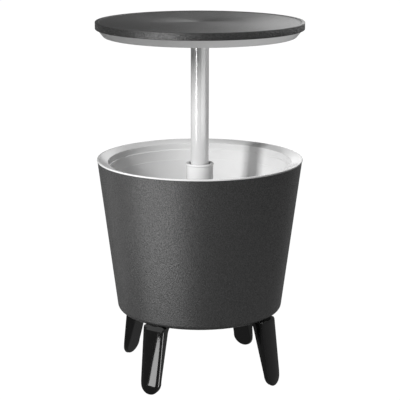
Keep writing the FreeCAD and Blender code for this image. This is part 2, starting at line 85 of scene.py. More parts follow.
class Finish:  # the nodes of one material, or of the world
    def __init__(self, owner):
        owner.use_nodes = True
        self.owner = owner
        self.tree = owner.node_tree
        self.tree.nodes.clear()

    def add(self, kind, settings=None, values=None, out=0):
        node = self.tree.nodes.new(kind)
        for key, value in (settings or {}).items():
            setattr(node, key, value)
        for key, value in (values or {}).items():
            if isinstance(value, Socket):
                self.tree.links.new(value.end, node.inputs[key])
            else:
                node.inputs[key].default_value = value
        return Socket(self, node.outputs[out]) if node.outputs else None

    def maths(self, operation, first, second):
        return self.add("ShaderNodeMath", {"operation": operation}, {0: first, 1: second})

    def vectors(self, operation, values, out=0):
        return self.add("ShaderNodeVectorMath", {"operation": operation}, values, out)

    def place(self):  # position on the piece, in metres
        return self.add("ShaderNodeTexCoord", out="Object")

    def scaled(self, vector, factors):
        return self.vectors("MULTIPLY", {0: vector, 1: factors})

    def noise(self, vector, scale, detail=2.0, rough=0.5):
        return self.add("ShaderNodeTexNoise", {},
                        {"Vector": vector, "Scale": scale, "Detail": detail, "Roughness": rough})

    def grain(self, vector, scale):  # a busier noise, for moulded surfaces
        return self.noise(vector, scale, detail=3.0, rough=0.6)

    def cells(self, vector, scale):
        return self.add("ShaderNodeTexVoronoi", {"feature": "SMOOTH_F1"}, {"Vector": vector, "Scale": scale})

    def rings(self, vector, scale):
        return self.add("ShaderNodeTexWave", {"wave_type": "RINGS", "rings_direction": "Z"},
                        {"Vector": vector, "Scale": scale}, out="Fac")

    def spread(self, value, low, high, newLow, newHigh):
        return self.add("ShaderNodeMapRange", {"interpolation_type": "SMOOTHSTEP"},
                        {0: value, 1: low, 2: high, 3: newLow, 4: newHigh})

    def mixed(self, factor, first, second):  # 6 and 7 are the Mix node's colours
        return self.add("ShaderNodeMix", {"data_type": "RGBA"}, {0: factor, 6: first, 7: second}, out=2)

    def bump(self, height, strength, distance, normal=None):
        values = {"Height": height, "Strength": strength, "Distance": distance}
        if normal is not None:
            values["Normal"] = normal
        return self.add("ShaderNodeBump", {}, values)

    def surface(self, values):
        shader = self.add("ShaderNodeBsdfPrincipled", {}, values)
        self.add("ShaderNodeOutputMaterial", {}, {"Surface": shader})
        return self.owner


def newFinish(name):
    return Finish(bpy.data.materials.new(name))


def grey(tone):
    return (tone, tone, tone, 1)


def makeTabletopGrey():
    look = {"dark": 0.013, "light": 0.025, "grain": 520, "cloud": 9.0, "grainShare": 0.6,
            "rough": 0.36, "roughSpan": 0.12, "grainDepth": 0.0005, "grainBump": 0.6,
            "ring": 215, "ringDepth": 0.00012, "ringBump": 0.5, "dish": -0.28, "dishRadius": 0.16,
            "brushed": 0.35, "brushedTurn": 0.25}
    finish = newFinish("tabletopGrey")
    place = finish.place()
    flat = finish.scaled(place, (1.0, 1.0, 0.0))
    radius = finish.vectors("LENGTH", {0: flat}, "Value")
    outward = finish.vectors("NORMALIZE", {0: flat})
    tilt = finish.spread(radius, 0.0, look["dishRadius"], look["dish"], 0.0)  # grooves lean to the centre
    lean = finish.vectors("SCALE", {0: outward, "Scale": tilt})
    lean = finish.add("ShaderNodeVectorTransform",
                      {"vector_type": "VECTOR", "convert_from": "OBJECT", "convert_to": "WORLD"}, {0: lean})
    level = finish.add("ShaderNodeNewGeometry", out="Normal")
    leaning = finish.vectors("NORMALIZE", {0: finish.vectors("ADD", {0: level, 1: lean})})
    grain = finish.grain(place, look["grain"])
    cloud = finish.noise(place, look["cloud"])
    shade = grain * look["grainShare"] + cloud * (1 - look["grainShare"])
    fine = finish.bump(grain, look["grainBump"], look["grainDepth"], leaning)
    turned = finish.bump(finish.rings(place, look["ring"]), look["ringBump"], look["ringDepth"], fine)
    return finish.surface({"Base Color": finish.mixed(shade, grey(look["dark"]), grey(look["light"])),
                           "Roughness": grain * look["roughSpan"] + look["rough"], "Normal": turned,
                           "Anisotropic": look["brushed"], "Anisotropic Rotation": look["brushedTurn"]})


def makeStippled(name, look):
    shared = {"cloud": 7.0, "grainShare": 0.7, "grainRise": 0.6, "bump": 0.7, "glintFrom": 0.38,
              "glintTo": 0.62, "coatRough": 0.4}
    finish = newFinish(name)
    place = finish.place()
    grain = finish.grain(place, look["grain"])
    cloud = finish.noise(place, shared["cloud"])
    shade = grain * shared["grainShare"] + cloud * (1 - shared["grainShare"])
    height = grain * shared["grainRise"] + finish.cells(place, look["pits"])
    glints = finish.spread(finish.noise(place, look["glints"], detail=1.0), shared["glintFrom"],
                           shared["glintTo"], 0.0, look["coat"])
    return finish.surface({"Base Color": finish.mixed(shade, grey(look["dark"]), grey(look["light"])),
                           "Roughness": grain * look["roughSpan"] + look["rough"],
                           "Normal": finish.bump(height, shared["bump"], look["depth"]),
                           "Coat Weight": glints, "Coat Roughness": shared["coatRough"]})


def makeLightPlastic():
    look = {"dark": 0.68, "light": 0.74, "flow": (14.0, 14.0, 3.0), "haze": 160.0, "rough": 0.17,
            "roughSpan": 0.08, "bump": 0.25, "depth": 0.000006, "coat": 0.15, "coatRough": 0.08}
    finish = newFinish("lightPlastic")
    place = finish.place()
    flow = finish.noise(finish.scaled(place, look["flow"]), 1.0, detail=3.0)
    haze = finish.noise(place, look["haze"], detail=3.0)
    return finish.surface({"Base Color": finish.mixed(flow, grey(look["dark"]), grey(look["light"])),
                           "Roughness": haze * look["roughSpan"] + look["rough"],
                           "Normal": finish.bump(haze, look["bump"], look["depth"]),
                           "Coat Weight": look["coat"], "Coat Roughness": look["coatRough"]})


def makeLegBlack():
    look = {"dark": 0.005, "light": 0.009, "haze": 60.0, "rough": 0.03, "roughSpan": 0.04,
            "ripple": 220.0, "bump": 0.2, "depth": 0.00001}
    finish = newFinish("legBlack")
    place = finish.place()
    haze = finish.noise(place, look["haze"], detail=3.0)
    ripple = finish.noise(place, look["ripple"])
    return finish.surface({"Base Color": finish.mixed(haze, grey(look["dark"]), grey(look["light"])),
                           "Roughness": haze * look["roughSpan"] + look["rough"],
                           "Normal": finish.bump(ripple, look["bump"], look["depth"])})


def makeMoulded(name, dark, light, rough):  # satin moulded plastics inside the table
    look = {"grain": 350.0, "roughSpan": 0.12, "bump": 0.4, "depth": 0.0001}
    finish = newFinish(name)
    grain = finish.grain(finish.place(), look["grain"])
    return finish.surface({"Base Color": finish.mixed(grain, grey(dark), grey(light)),
                           "Roughness": grain * look["roughSpan"] + rough,
                           "Normal": finish.bump(grain, look["bump"], look["depth"])})


def makeSteel():
    look = {"dark": 0.50, "light": 0.66, "spangle": 500.0, "turned": (40.0, 40.0, 900.0),
            "rough": 0.24, "roughSpan": 0.2, "bump": 0.2, "depth": 0.00004}
    finish = newFinish("zincSteel")
    place = finish.place()
    turned = finish.noise(finish.scaled(place, look["turned"]), 1.0)
    spangle = finish.noise(place, look["spangle"])
    return finish.surface({"Base Color": finish.mixed(spangle, grey(look["dark"]), grey(look["light"])),
                           "Roughness": turned * look["roughSpan"] + look["rough"], "Metallic": 1.0,
                           "Normal": finish.bump(turned, look["bump"], look["depth"])})


finishes = {
    "tabletop_grey": makeTabletopGrey(),
    "shell_grey": makeStippled("shellGrey", {"dark": 0.023, "light": 0.031, "grain": 620, "pits": 385,
                                             "depth": 0.0009, "rough": 0.14, "roughSpan": 0.46,
                                             "glints": 420, "coat": 0.75}),
    "skirt": makeStippled("skirtGrey", {"dark": 0.012, "light": 0.022, "grain": 420, "pits": 330,
                                        "depth": 0.0013, "rough": 0.08, "roughSpan": 0.30,
                                        "glints": 330, "coat": 0.4}),
    "light_plastic": makeLightPlastic(),
    "leg_black": makeLegBlack(),
    "inner_plastic": makeMoulded("innerPlastic", 0.24, 0.32, 0.45),
    "bearing_plastic": makeMoulded("bearingPlastic", 0.03, 0.05, 0.40),
    "plug_plastic": makeMoulded("plugPlastic", 0.07, 0.11, 0.42),
    "seal_rubber": makeMoulded("sealRubber", 0.016, 0.026, 0.62),
    "steel": makeSteel(),
}
slotOf = {part["node"]: part["material_slot"] for part in frame["record"]["subparts"]}
for name, node in nodes.items():
    node.data.materials.clear()
    node.data.materials.append(finishes[slotOf[name]])
print("finishes made:", len(finishes))


arcStep = 9  # degrees between the points of a rounded corner
fewestSteps = 3  # in a corner that turns only a little


def roundedLoop(corners):  # (x, y, rounding) corners of a closed outline
    points = []
    for i, (a, b, rounding) in enumerate(corners):
        here = Vector((a, b))
        if rounding == 0:
            points.append(here)
            continue
        back = (Vector(corners[i - 1][:2]) - here).normalized()
        onward = (Vector(corners[(i + 1) % len(corners)][:2]) - here).normalized()
        half = back.angle(onward) / 2
        centre = here + (back + onward).normalized() * rounding / math.sin(half)
        first = here + back * rounding / math.tan(half) - centre
        last = here + onward * rounding / math.tan(half) - centre
        sweep = math.pi - 2 * half
        steps = max(fewestSteps, round(math.degrees(sweep) / arcStep))
        for k in range(steps + 1):
            at = k / steps * sweep
            points.append(centre + (first * math.sin(sweep - at) + last * math.sin(at)) / math.sin(sweep))
    return points


def lathe(corners, spokes=256):  # (radius, height, rounding) corners turned about the Z axis
    build = bmesh.new()
    angles = [2 * math.pi * k / spokes for k in range(spokes)]
    rings = []
    for point in roundedLoop(corners):
        if point.x < touching:
            rings.append([build.verts.new((0, 0, point.y * mm))] * spokes)
        else:
            rings.append([build.verts.new((point.x * mm * math.cos(a), point.x * mm * math.sin(a),
                                           point.y * mm)) for a in angles])
    for i, ring in enumerate(rings):
        other = rings[(i + 1) % len(rings)]
        for k in range(spokes):
            after = (k + 1) % spokes
            face = list(dict.fromkeys([ring[k], ring[after], other[after], other[k]]))
            if len(face) > 2:
                build.faces.new(face)
    bmesh.ops.recalc_face_normals(build, faces=build.faces)
    return build


def addBox(build, low, high):  # a block between two opposite corners
    grown = bmesh.ops.create_cube(build, size=1.0)
    middle = [(a + b) / 2 * mm for a, b in zip(low, high)]
    size = [(b - a) * mm for a, b in zip(low, high)]
    bmesh.ops.transform(build, verts=grown["verts"],
                        matrix=Matrix.Translation(middle) @ Matrix.Diagonal((*size, 1)))


def addCopy(build, source, matrix):  # a copy of another bmesh, moved
    twin = source.copy()
    bmesh.ops.transform(twin, verts=twin.verts, matrix=matrix)
    data = bpy.data.meshes.new("twin")
    twin.to_mesh(data)
    twin.free()
    build.from_mesh(data)
    bpy.data.meshes.remove(data)


def asObject(name, build):  # turns a bmesh into an object in the scene
    data = bpy.data.meshes.new(name)
    build.to_mesh(data)
    build.free()
    thing = bpy.data.objects.new(name, data)
    bpy.context.scene.collection.objects.link(thing)
    return thing


def discard(thing):
    data = thing.data
    bpy.data.objects.remove(thing)
    bpy.data.meshes.remove(data)


def makePiece(name, build, slot, body, replaced, sharp=38):
    piece = asObject(name, build)
    piece.data.shade_smooth()
    piece.data.set_sharp_from_angle(angle=math.radians(sharp))
    piece.data.materials.append(finishes[slot])
    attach(piece, body)
    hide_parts(*replaced)
    return piece


def carve(piece, cutter):  # cuts the cutter's mesh out of a piece
    tool = asObject("cutter", cutter)
    cut = piece.modifiers.new("cut", "BOOLEAN")
    cut.object = tool
    cut.operation = "DIFFERENCE"
    cut.solver = "EXACT"
    bpy.context.view_layer.update()
    shaped = bpy.data.meshes.new_from_object(piece.evaluated_get(bpy.context.evaluated_depsgraph_get()))
    piece.modifiers.clear()
    old = piece.data
    name = old.name
    piece.data = shaped
    bpy.data.meshes.remove(old)
    shaped.name = name
    discard(tool)


# Tabletop: a turned field inside a bead, and a skirt with its own finish
top = {"radius": edgeOf("tabletop_panel", "high", "x"), "height": edgeOf("tabletop_panel", "high", "z"),
       "skirt": 17.3, "wall": 2.5, "plate": 3.0, "bead": 8.0, "beadHeight": 1.0, "beadSlope": 2.0,
       "edge": 1.5, "skirtFoot": 1.6, "lipInside": 0.6, "ringWidth": 6.0, "ringDepth": 0.12,
       "centre": 15.0, "uprightBelow": 0.5}
field = top["height"] - top["beadHeight"]
beadIn = top["radius"] - top["bead"]
under = field - top["plate"]
skirtFoot = top["height"] - top["skirt"]
turnings = []  # shallow rings between the bare centre and the bead
ringRadius = top["centre"]
while ringRadius + top["ringWidth"] < beadIn - top["beadSlope"] * 2:
    turnings.append((ringRadius, field, 0))
    turnings.append((ringRadius + top["ringWidth"] / 2, field - top["ringDepth"], 0))
    ringRadius += top["ringWidth"]
panelMesh = lathe([(0, field, 0)] + turnings + [
    (beadIn - top["beadSlope"], field, top["beadSlope"]), (beadIn, top["height"], top["beadSlope"]),
    (top["radius"], top["height"], top["edge"]), (top["radius"], skirtFoot, top["skirtFoot"]),
    (top["radius"] - top["wall"], skirtFoot, top["lipInside"]),
    (top["radius"] - top["wall"], under, 0), (0, under, 0)])
panel = makePiece("tabletopPanel", panelMesh, "tabletop_grey", "tabletop", ["tabletop_panel"])
panel.data.materials.append(finishes["skirt"])
for face in panel.data.polygons:
    if abs(face.normal.z) < top["uprightBelow"] and face.center.z < (top["height"] - top["edge"]) * mm:
        face.material_index = 1

pan = {"floor": 225.5, "rim": 242.4, "coneHeight": 21.0, "wall": 2.5, "edge": 6.0, "holeEdge": 0.4,
       "holeGap": 0.1, "bottom": edgeOf("tabletop_pan", "low", "z"), "screwsIn": 20.5, "hubScrews": 34.0}
panHole = edgeOf("pole_tube", "high", "x") + pan["holeGap"]
panIn = pan["bottom"] + pan["wall"]
panRise = pan["bottom"] + pan["coneHeight"]
panMesh = lathe([(panHole, pan["bottom"], pan["holeEdge"]), (pan["floor"], pan["bottom"], pan["edge"]),
                 (pan["rim"], panRise, pan["edge"]), (pan["rim"], under, 0),
                 (pan["rim"] - pan["wall"], under, 0),
                 (pan["rim"] - pan["wall"], panRise + pan["wall"] / 2, 0),
                 (pan["floor"] - pan["wall"] / 2, panIn, 0), (panHole, panIn, 0)])
makePiece("tabletopPan", panMesh, "light_plastic", "tabletop", ["tabletop_pan"])
print("tabletop made")


# Pole: a tube with softened ends
pole = {"radius": edgeOf("pole_tube", "high", "x"), "wall": 2.4, "low": edgeOf("pole_tube", "low", "z"),
        "high": edgeOf("pole_tube", "high", "z"), "edge": 0.4, "spokes": 128}
poleMesh = lathe([(pole["radius"], pole["low"], pole["edge"]), (pole["radius"], pole["high"], pole["edge"]),
                  (pole["radius"] - pole["wall"], pole["high"], 0),
                  (pole["radius"] - pole["wall"], pole["low"], 0)], pole["spokes"])
makePiece("poleTube", poleMesh, "light_plastic", "tabletop", ["pole_tube"])
print("pole made")


# Bucket: a light liner with funnel, throat and band, in a dark tapered shell
bucket = {"rim": 244.8, "height": edgeOf("liner", "high", "z"), "rimEdge": 3.5, "rimRound": 1.5,
          "rimFoot": 0.3, "crest": 4.0, "crestRound": 3.0, "drop": 7.0, "funnel": 22.3, "mouthRound": 1.5,
          "wall": 2.8, "throat": 14.0, "throatRound": 0.6, "throatStep": 1.8, "stepRound": 1.5,
          "draft": 1.0, "band": 26.0, "bandStep": 0.6, "bandRound": 0.2,
          "floor": edgeOf("liner_floor", "high", "z"), "corner": 12.0, "ribWall": 2.5, "ribDepth": 9.0,
          "ribGap": 0.1, "column": 30.6, "bottom": edgeOf("outer_shell", "low", "z"), "overhang": 0.8,
          "baseRadius": 197.4, "shellWall": 3.0, "shellCorner": 13.0, "shellTop": 0.8,
          "drain": 110.0, "drainHole": 11.1, "drainSpokes": 48, "drainCut": 20.0, "baseScrews": 130.0}
rimUnder = bucket["height"] - bucket["rimEdge"]
crest = bucket["rim"] - bucket["crest"]
mouth = crest - bucket["funnel"]
throatTop = bucket["height"] - bucket["drop"]
throatFoot = throatTop - bucket["throat"]
stepFoot = throatFoot - bucket["throatStep"]
shellTop = bucket["rim"] - bucket["overhang"]
taper = (shellTop - bucket["baseRadius"]) / (rimUnder - bucket["bottom"])
wallTop = mouth - bucket["draft"] - bucket["throatStep"]
floorRadius = wallTop - taper * (stepFoot - bucket["floor"]) - bucket["bandStep"]
bandFoot = throatFoot - bucket["band"]
bandRadius = wallTop - taper * (bucket["band"] - bucket["throatStep"])
ribOut = shellTop - bucket["shellWall"] - bucket["ribGap"]


def underFunnel(radius):  # height of the funnel's underside
    return bucket["height"] - bucket["drop"] / bucket["funnel"] * (crest - radius) - bucket["wall"]


linerMesh = lathe([
    (bucket["rim"], rimUnder, bucket["rimFoot"]), (bucket["rim"], bucket["height"], bucket["rimRound"]),
    (crest, bucket["height"], bucket["crestRound"]), (mouth, throatTop, bucket["mouthRound"]),
    (mouth - bucket["draft"], throatFoot, bucket["throatRound"]), (wallTop, stepFoot, bucket["stepRound"]),
    (bandRadius, bandFoot, bucket["bandRound"]),
    (bandRadius - bucket["bandStep"], bandFoot - bucket["bandStep"], bucket["bandRound"]),
    (floorRadius, bucket["floor"], bucket["corner"]), (bucket["column"], bucket["floor"], 0),
    (bucket["column"], bucket["floor"] - bucket["wall"], 0),
    (floorRadius + bucket["bandStep"] + bucket["wall"], bucket["floor"] - bucket["wall"],
     bucket["corner"] + bucket["wall"]),
    (wallTop + bucket["wall"], stepFoot, 0), (mouth + bucket["wall"] - bucket["draft"], throatFoot, 0),
    (mouth + bucket["wall"], underFunnel(mouth + bucket["wall"]), 0),
    (ribOut - bucket["ribWall"], underFunnel(ribOut - bucket["ribWall"]), 0),
    (ribOut - bucket["ribWall"], rimUnder - bucket["ribDepth"], 0),
    (ribOut - taper * bucket["ribDepth"], rimUnder - bucket["ribDepth"], 0), (ribOut, rimUnder, 0)])
liner = makePiece("bucketLiner", linerMesh, "light_plastic", "bucket", ["liner", "liner_floor"])
drainMesh = bmesh.new()
bmesh.ops.create_cone(drainMesh, cap_ends=True, segments=bucket["drainSpokes"],
                      radius1=bucket["drainHole"] * mm, radius2=bucket["drainHole"] * mm,
                      depth=bucket["drainCut"] * mm,
                      matrix=Matrix.Translation((0, bucket["drain"] * mm, bucket["floor"] * mm)))
carve(liner, drainMesh)

shellMesh = lathe([
    (0, bucket["bottom"], 0), (bucket["baseRadius"], bucket["bottom"], bucket["shellCorner"]),
    (shellTop, rimUnder, bucket["shellTop"]), (shellTop - bucket["shellWall"], rimUnder, 0),
    (bucket["baseRadius"] - bucket["shellWall"], bucket["bottom"] + bucket["shellWall"],
     bucket["shellCorner"] - bucket["shellWall"]), (0, bucket["bottom"] + bucket["shellWall"], 0)])
makePiece("outerShell", shellMesh, "shell_grey", "bucket", ["outer_shell"])
print("bucket made")


# Legs: a front and a back face, joined round their outline; the back one bends into the screw pad
leg = {"outer": {"foot": 217.2, "top": 196.2, "footWidth": 51.0, "topWidth": 58.0, "round": 3.5,
                 "crown": 2.6, "side": 1},
       "inner": {"foot": 206.9, "top": 161.8, "footWidth": 51.0, "topWidth": 42.0, "round": 2.5,
                 "crown": 0.0, "side": -1, "padWidth": 35.0},
       "pad": 8.0, "padIn": 134.0, "padRound": 18.0, "shoulder": 4.0, "tuck": 8.0, "screwIn": 143.5,
       "screwAside": 11.0, "rows": 26, "turns": 18, "edgeSteps": 6, "faceSteps": 9, "sharp": 50,
       "ahead": 0.5}  # how far along the path its direction is read
padLevel = bucket["bottom"] - leg["pad"]
leg["outer"]["path"] = roundedLoop([
    (leg["outer"]["foot"], 0, 0), (leg["outer"]["top"], bucket["bottom"], leg["shoulder"]),
    (leg["outer"]["top"] - leg["tuck"], bucket["bottom"], 0)])
leg["inner"]["path"] = roundedLoop([
    (leg["inner"]["foot"], 0, 0), (leg["inner"]["top"], padLevel, leg["padRound"]),
    (leg["padIn"], padLevel, 0)])


def pathPoint(path, distance):  # a point along a list of (x, z) points
    for here, after in zip(path, path[1:]):
        step = (after - here).length
        if distance <= step or after is path[-1]:
            return here + (after - here) * (distance / step)
        distance -= step


def legPoint(face, aside, share, turn, inset):  # a point on a face, inset from the leg's outline
    footHalf, topHalf = face["footWidth"] / 2, face["topWidth"] / 2
    scale = 1 - inset / footHalf
    drop = face["crown"] * (scale ** 2 - 1)
    if inset < face["round"]:
        drop += face["round"] - math.sqrt(face["round"] ** 2 - (face["round"] - inset) ** 2)
    if turn is None:  # beside the straight part, not round the foot
        length = sum((b - a).length for a, b in zip(face["path"], face["path"][1:]))
        distance = footHalf + share * (length - footHalf)
        rise = pathPoint(face["path"], distance).y / padLevel
        half = footHalf + (topHalf - footHalf) * min(1, rise)
        if "padWidth" in face:
            bend = (face["top"] - pathPoint(face["path"], distance).x) / leg["padRound"]
            half += (face["padWidth"] / 2 - topHalf) * min(1, max(0, bend))
        across = aside * half * scale
    else:
        distance = footHalf - footHalf * scale * math.sin(turn)
        across = -footHalf * scale * math.cos(turn)
    point = pathPoint(face["path"], distance)
    ahead = pathPoint(face["path"], distance + leg["ahead"]) - point
    point = point - Vector((ahead.y, -ahead.x)).normalized() * face["side"] * drop
    return Vector((point.x, across, max(0, point.y))) * mm


def legMesh(angle):
    outline = [(-1, k / leg["rows"], None) for k in range(leg["rows"], 0, -1)]
    outline += [(0, 0, math.pi * k / leg["turns"]) for k in range(leg["turns"] + 1)]
    outline += [(1, k / leg["rows"], None) for k in range(1, leg["rows"] + 1)]
    build = bmesh.new()
    grids = []
    for face in (leg["outer"], leg["inner"]):
        steps = leg["edgeSteps"]
        insets = [face["round"] * (1 - math.cos(math.pi / 2 * k / steps)) for k in range(steps + 1)]
        rest = face["footWidth"] / 2 - insets[-1]
        insets += [insets[-1] + rest * k / leg["faceSteps"] for k in range(1, leg["faceSteps"] + 1)]
        grids.append([[build.verts.new(legPoint(face, aside, share, turn, inset)) for inset in insets]
                      for aside, share, turn in outline])
    for grid in grids:
        for a, b in zip(grid, grid[1:]):
            for j in range(len(a) - 1):
                build.faces.new((a[j], a[j + 1], b[j + 1], b[j]))
    front, back = grids
    for i in range(len(outline) - 1):
        build.faces.new((front[i][0], front[i + 1][0], back[i + 1][0], back[i][0]))
    padHalf = leg["inner"]["padWidth"] / 2
    corners = [build.verts.new(Vector((leg["padIn"], s * padHalf, bucket["bottom"])) * mm) for s in (-1, 1)]
    upper = front[0] + front[-1][::-1]
    lower = back[0] + back[-1][::-1]
    build.faces.new(upper + [corners[1], corners[0]])
    build.faces.new(lower + [corners[1], corners[0]])
    build.faces.new((upper[0], corners[0], lower[0]))
    build.faces.new((upper[-1], corners[1], lower[-1]))
    bmesh.ops.remove_doubles(build, verts=build.verts, dist=touching)
    bmesh.ops.recalc_face_normals(build, faces=build.faces)
    bmesh.ops.rotate(build, verts=build.verts, cent=(0, 0, 0),
                     matrix=Matrix.Rotation(math.radians(angle), 3, "Z"))
    return build


legAngles = {"front_right_leg": -45, "rear_right_leg": 45, "rear_left_leg": 135, "front_left_leg": 225}
for node, angle in legAngles.items():
    words = node.split("_")
    makePiece(words[0] + words[1].title() + "Leg", legMesh(angle), "leg_black", "bucket", [node],
              leg["sharp"])
print("legs made")


# Screws: domed heads with cross recesses
screw = {"dome": 0.35, "face": 0.72, "faceRound": 0.3, "recess": 0.62, "slot": 0.26,  # shares of the head
         "edge": 0.1, "depth": 0.9, "clear": 1.0, "spokes": 32, "sharp": 30}
screwSizes = {  # radius, length, head radius and head height
    "panScrews": (1.8, 14.0, 3.8, 2.0),
    "hubScrews": (2.0, 11.0, 4.0, 2.2),
    "baseScrews": (2.2, 24.0, 4.2, 2.2),
    "legScrews": (2.2, 22.0, 4.2, 2.2),
    "collarScrews": (1.3, 4.6, 2.4, 0.9),
}
screwCircles = {"panScrews": (8, 22.5), "hubScrews": (4, 45), "baseScrews": (6, 0)}  # count, first angle
collarSeat = 32.2  # where the heads of the collar's screws sit, from the axis
collarAngles = (60, 120)


def screwMesh(radius, length, head, height):  # cross-recessed screw, head down, seat at zero
    dome = height * screw["dome"]
    blank = asObject("screw", lathe([
        (0, -height, 0), (head * screw["face"], -height, head * screw["faceRound"]),
        (head, -height + 2 * dome, dome), (head, 0, screw["edge"]), (radius, 0, 0),
        (radius, length - radius, screw["edge"]), (0, length, 0)], screw["spokes"]))
    reach, half = head * screw["recess"], head * screw["slot"] / 2
    for x, y in ((reach, half), (half, reach)):
        bar = bmesh.new()
        addBox(bar, (-x, -y, -height - screw["clear"]), (x, y, -height + screw["depth"]))
        carve(blank, bar)
    build = bmesh.new()
    build.from_mesh(blank.data)
    discard(blank)
    return build


def placeScrews(name, spots, body, node):
    one = screwMesh(*screwSizes[name])
    build = bmesh.new()
    for spot in spots:
        addCopy(build, one, spot)
    one.free()
    makePiece(name, build, slotOf[node], body, [node], screw["sharp"])


def turnedTo(angle, radius, aside, height):  # a place at an angle about the table's axis
    return (Matrix.Rotation(math.radians(angle), 4, "Z")
            @ Matrix.Translation(Vector((radius, aside, height)) * mm))


def onCircle(name, radius, height):
    count, first = screwCircles[name]
    return [turnedTo(first + 360 / count * k, radius, 0, height) for k in range(count)]


def onLegs():  # two screws for each leg
    return [turnedTo(angle, leg["screwIn"], side * leg["screwAside"], padLevel)
            for angle in legAngles.values() for side in (-1, 1)]


def inCollar():  # screws that point at the column's axis
    level = (edgeOf("collar_screws", "low", "z") + edgeOf("collar_screws", "high", "z")) / 2
    return [turnedTo(angle, collarSeat, 0, level) @ Matrix.Rotation(math.radians(-90), 4, "Y")
            for angle in collarAngles]


placeScrews("panScrews", onCircle("panScrews", pan["floor"] - pan["screwsIn"], pan["bottom"]),
            "tabletop", "pan_screws")
placeScrews("hubScrews", onCircle("hubScrews", pan["hubScrews"], pan["bottom"]),
            "tabletop", "hub_screws")
placeScrews("baseScrews", onCircle("baseScrews", bucket["baseScrews"], bucket["bottom"]),
            "bucket", "base_screws")
placeScrews("legScrews", onLegs(), "bucket", "leg_screws")
placeScrews("collarScrews", inCollar(), "bucket", "collar_screws")
print("screws made")


# Studio: soft lamps, cards for the reflections, a pale floor and a white world
studio = {
    "aim": 0.5,
    "white": (1, 1, 1, 1),
    "world": {"seen": 1.0, "diffuse": 0.09},
    "floor": {"size": 40.0, "tone": 0.40, "ownLight": 0.93, "glow": 1.10},
    "ground": {"height": -2.4, "radius": 2.4, "strength": 0.2, "spokes": 64},
    "cardSteps": 16,
}
lamps = [  # azimuths in degrees, 0 in front; distances and heights in metres
    {"name": "keyLamp", "off": ["tabletopPan"], "azimuth": -50.5, "distance": 2.3, "height": 1.9,
     "wide": 0.28, "tall": 1.2, "strength": 75.0},
    {"name": "fillLamp", "off": ["outerShell", "bucketLiner"], "azimuth": 60, "distance": 2.3,
     "height": 0.66, "wide": 1.0, "tall": 0.4, "strength": 11.5},
    {"name": "linerLamp", "on": ["bucketLiner"], "azimuth": -80, "distance": 2.3, "height": 1.2,
     "wide": 1.2, "tall": 0.8, "strength": 5.8},
    {"name": "panLamp", "on": ["tabletopPan"], "azimuth": -15, "distance": 2.3, "height": 0.4,
     "wide": 2.2, "tall": 0.4, "strength": 3.7},
    {"name": "collarLamp", "on": ["column_collar"], "azimuth": -35, "distance": 2.3, "height": 1.0,
     "wide": 1.0, "tall": 0.6, "strength": 7.5},
]
cards = [  # curved cards that only reflections see; the flags are dim, and hide the white world
    {"name": "lowFlag", "from": -90, "to": -46, "low": -2.4, "high": -0.02, "distance": 2.4,
     "strength": 0.10},
    {"name": "rightFlag", "from": -46, "to": 142, "low": -2.4, "high": 0.85, "distance": 2.4,
     "strength": 0.22},
    {"name": "leftFlag", "from": -218, "to": -88, "low": -2.4, "high": 0.85, "distance": 2.4,
     "strength": 0.18},
    {"name": "rearFlag", "from": 60, "to": 252, "low": 0.85, "high": 2.6, "distance": 2.3,
     "strength": 0.05},
    {"name": "legCard", "on": ["frontLeftLeg"], "from": -78, "to": -60.8, "topFrom": -64.5, "topTo": -59.2,
     "low": -0.310, "high": -0.06, "distance": 2.0, "strength": 8.0},
    {"name": "legEdgeCard", "on": ["frontLeftLeg"], "from": 26, "to": 52, "low": -1.0, "high": -0.3,
     "distance": 2.0, "strength": 13.0},
    {"name": "poleCard", "on": ["poleTube"], "from": -62, "to": -50, "low": -0.03, "high": 2.2,
     "distance": 2.0, "strength": 20.0},
    {"name": "poleSideCard", "on": ["poleTube"], "from": 8, "to": 62, "low": 0.12, "high": 0.7,
     "distance": 2.0, "strength": 4.5},
    {"name": "shellCard", "on": ["outerShell"], "from": -86, "to": -32, "low": -1.0, "high": 0.25,
     "distance": 2.0, "strength": 3.3},
    {"name": "shellRightCard", "on": ["outerShell"], "from": -46, "to": 90, "low": -2.4, "high": 0.1,
     "distance": 2.0, "strength": 0.22},
    {"name": "shellSideCard", "on": ["outerShell"], "from": -142, "to": -90, "low": -0.72, "high": 0.3,
     "distance": 2.0, "strength": 0.5},
    {"name": "skirtCard", "on": ["tabletopPanel"], "from": -64, "to": -36, "low": -0.3, "high": 0.84,
     "distance": 2.0, "strength": 6.0},
    {"name": "topKeyCard", "on": ["tabletopPanel"], "from": -62, "to": -42, "low": 1.5, "high": 2.4,
     "distance": 2.0, "strength": 6.0},
    {"name": "topPanelA", "on": ["tabletopPanel"], "from": 60, "to": 161, "low": 0.87, "high": 2.6,
     "distance": 2.1, "strength": 1.25},
    {"name": "topPanelB", "on": ["tabletopPanel"], "from": 60, "to": 164.5, "low": 0.87, "high": 2.6,
     "distance": 2.1, "strength": 0.40},
    {"name": "topPanelC", "on": ["tabletopPanel"], "from": 60, "to": 171, "low": 0.87, "high": 2.6,
     "distance": 2.1, "strength": 0.25},
    {"name": "topPanelD", "on": ["tabletopPanel"], "from": 60, "to": 178, "low": 0.87, "high": 2.6,
     "distance": 2.1, "strength": 0.06},
    {"name": "rimPanel", "on": ["bucketLiner"], "from": 90, "to": 171, "low": 0.7, "high": 1.6,
     "distance": 2.1, "strength": 1.5},
]


def towards(azimuth, distance, height):  # a place in the studio, azimuth 0 in front
    turn = math.radians(azimuth)
    return Vector((math.sin(turn) * distance, -math.cos(turn) * distance, height))


